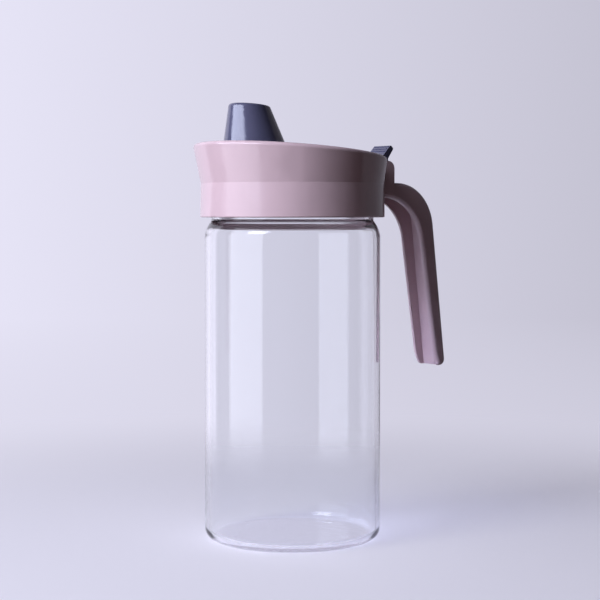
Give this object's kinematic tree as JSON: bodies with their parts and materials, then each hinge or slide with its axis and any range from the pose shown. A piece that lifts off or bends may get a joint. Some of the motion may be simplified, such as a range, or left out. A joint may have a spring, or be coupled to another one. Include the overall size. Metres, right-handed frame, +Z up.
{
  "type": "oil jar",
  "caption": "Clear glass oil jar with a flared pink screw lid, a hanging channel handle and a grey thumb lever that lifts the spout cap.",
  "frame": {"origin": "centre of the jar's foot, on the jar's axis", "axes": "+Z up along the jar's axis, +X towards the handle, -X towards the spout, XZ is the plane of symmetry"},
  "size_m": [0.1338, 0.0882, 0.1971],
  "materials": {
    "clear_glass": "drawn borosilicate glass, clear and smooth",
    "pink_plastic": "moulded polypropylene, dusty pink, glossy",
    "grey_plastic": "moulded polypropylene, dark slate blue-grey, satin gloss"
  },
  "bodies": {
    "jar": {"glass_jar": "clear_glass", "lid": "pink_plastic", "pour_insert": "pink_plastic"},
    "lever": {"lever": "grey_plastic"}
  },
  "joints": [
    {"name": "lever_hinge", "type": "hinge", "parent": "jar", "child": "lever", "pos_m": [0.0511, 0, 0.1691], "axis": [0, 1, 0], "range_deg": [0, 35]}
  ]
}
